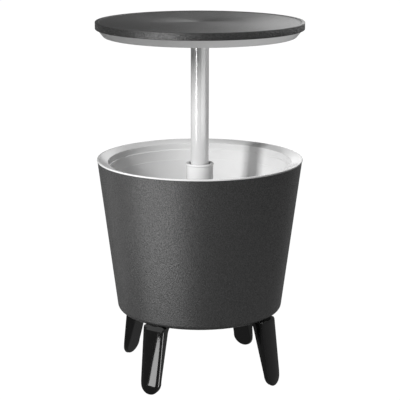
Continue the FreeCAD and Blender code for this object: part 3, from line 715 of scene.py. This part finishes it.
def linkLight(light, plan):  # "on" lights only these pieces, "off" lights all but these
    lit = bpy.data.collections.new(plan["name"] + "Lights")
    for name in plan.get("on", []) + plan.get("off", []):
        lit.objects.link(bpy.data.objects[name])
    for item in lit.collection_objects:
        item.light_linking.link_state = "INCLUDE" if "on" in plan else "EXCLUDE"
    light.light_linking.receiver_collection = lit


def makeLamp(plan):
    data = bpy.data.lights.new(plan["name"], "AREA")
    data.shape = "RECTANGLE"
    data.size, data.size_y = plan["wide"], plan["tall"]
    data.energy = plan["strength"] * math.pi * plan["wide"] * plan["tall"]
    lamp = bpy.data.objects.new(plan["name"], data)
    lamp.location = towards(plan["azimuth"], plan["distance"], plan["height"])
    aim = Vector((0, 0, studio["aim"])) - lamp.location
    lamp.rotation_euler = aim.to_track_quat("-Z", "Y").to_euler()
    lamp.visible_camera = False
    lamp.visible_glossy = False
    bpy.context.scene.collection.objects.link(lamp)
    linkLight(lamp, plan)


def glowFinish(name, strength, clear):  # a clear card adds its light to what is behind it
    finish = newFinish(name)
    glow = finish.add("ShaderNodeEmission", {}, {"Color": studio["white"], "Strength": strength})
    if clear:
        seeThrough = finish.add("ShaderNodeBsdfTransparent")
        glow = finish.add("ShaderNodeAddShader", {}, {0: glow, 1: seeThrough})
    finish.add("ShaderNodeOutputMaterial", {}, {"Surface": glow})
    finish.owner.cycles.emission_sampling = "NONE"
    return finish.owner


def reflectedOnly(name, build, glow):  # a sheet of light that only reflections see
    sheet = asObject(name, build)
    sheet.data.materials.append(glow)
    sheet.visible_camera = False
    sheet.visible_diffuse = False
    sheet.visible_shadow = False
    sheet.visible_transmission = False
    return sheet


def makeCard(plan):
    build = bmesh.new()
    topFrom, topTo = plan.get("topFrom", plan["from"]), plan.get("topTo", plan["to"])
    shares = [k / studio["cardSteps"] for k in range(studio["cardSteps"] + 1)]
    lows = [build.verts.new(towards(plan["from"] + (plan["to"] - plan["from"]) * share, plan["distance"],
                                    plan["low"])) for share in shares]
    highs = [build.verts.new(towards(topFrom + (topTo - topFrom) * share, plan["distance"], plan["high"]))
             for share in shares]
    for k in range(studio["cardSteps"]):
        build.faces.new((lows[k], lows[k + 1], highs[k + 1], highs[k]))
    card = reflectedOnly(plan["name"], build, glowFinish(plan["name"], plan["strength"], "on" in plan))
    if "on" in plan:
        linkLight(card, plan)


def makeGroundFlag():  # a dim disc far under the floor
    plan = studio["ground"]
    build = bmesh.new()
    bmesh.ops.create_circle(build, cap_ends=True, segments=plan["spokes"], radius=plan["radius"],
                            matrix=Matrix.Translation((0, 0, plan["height"])))
    reflectedOnly("groundFlag", build, glowFinish("groundFlag", plan["strength"], False))


def makeFloor():  # reflections and views from below pass through it
    plan = studio["floor"]
    finish = newFinish("floorWhite")
    rays = finish.add("ShaderNodeLightPath", out="Is Camera Ray")
    glossy = finish.add("ShaderNodeLightPath", out="Is Glossy Ray")
    fromBelow = finish.add("ShaderNodeNewGeometry", out="Backfacing")
    matte = finish.add("ShaderNodeBsdfDiffuse", {}, {"Color": grey(plan["tone"])})
    glow = finish.add("ShaderNodeEmission", {}, {"Color": studio["white"], "Strength": plan["glow"]})
    clear = finish.add("ShaderNodeBsdfTransparent")
    seen = finish.add("ShaderNodeMixShader", {}, {0: rays * plan["ownLight"], 1: matte, 2: glow})
    hidden = finish.maths("MAXIMUM", glossy, fromBelow)
    both = finish.add("ShaderNodeMixShader", {}, {0: hidden, 1: seen, 2: clear})
    finish.add("ShaderNodeOutputMaterial", {}, {"Surface": both})
    half = plan["size"] / 2
    build = bmesh.new()
    build.faces.new([build.verts.new(corner) for corner in
                     ((-half, -half, 0), (half, -half, 0), (half, half, 0), (-half, half, 0))])
    floor = asObject("floor", build)
    floor.data.materials.append(finish.owner)


def makeWorld():  # white where it is seen, dim where it lights
    plan = studio["world"]
    world = bpy.data.worlds.new("studioWorld")
    finish = Finish(world)
    camera = finish.add("ShaderNodeLightPath", out="Is Camera Ray")
    glossy = finish.add("ShaderNodeLightPath", out="Is Glossy Ray")
    clear = finish.add("ShaderNodeLightPath", out="Is Transmission Ray")
    seen = finish.maths("MAXIMUM", finish.maths("MAXIMUM", camera, glossy), clear)
    strength = seen * plan["seen"] + (1 - seen) * plan["diffuse"]
    glow = finish.add("ShaderNodeBackground", {}, {"Color": studio["white"], "Strength": strength})
    finish.add("ShaderNodeOutputWorld", {}, {"Surface": glow})
    bpy.context.scene.world = world


for plan in lamps:
    makeLamp(plan)
for plan in cards:
    makeCard(plan)
makeGroundFlag()
makeFloor()
makeWorld()
print("studio made")


# Camera at the photograph's place, about twelve degrees to the left of the front
shot = {"azimuth": -11.7, "distance": 3.2781, "height": 1.2064, "pitch": 13.37, "roll": 0.08,
        "lens": 126.18, "sensor": 36, "shift": 0.0008, "farthest": 200}
lens = bpy.data.cameras.new("camera")
lens.lens = shot["lens"]
lens.sensor_width = shot["sensor"]
lens.shift_x = shot["shift"]
lens.clip_end = shot["farthest"]
camera = bpy.data.objects.new("camera", lens)
camera.location = towards(shot["azimuth"], shot["distance"], shot["height"])
aim = (Matrix.Rotation(math.radians(shot["azimuth"]), 3, "Z")
       @ Matrix.Rotation(math.radians(90 - shot["pitch"]), 3, "X")
       @ Matrix.Rotation(math.radians(shot["roll"]), 3, "Z"))
camera.rotation_euler = aim.to_euler()
bpy.context.scene.collection.objects.link(camera)
bpy.context.scene.camera = camera
bpy.context.scene.view_settings.view_transform = "Standard"
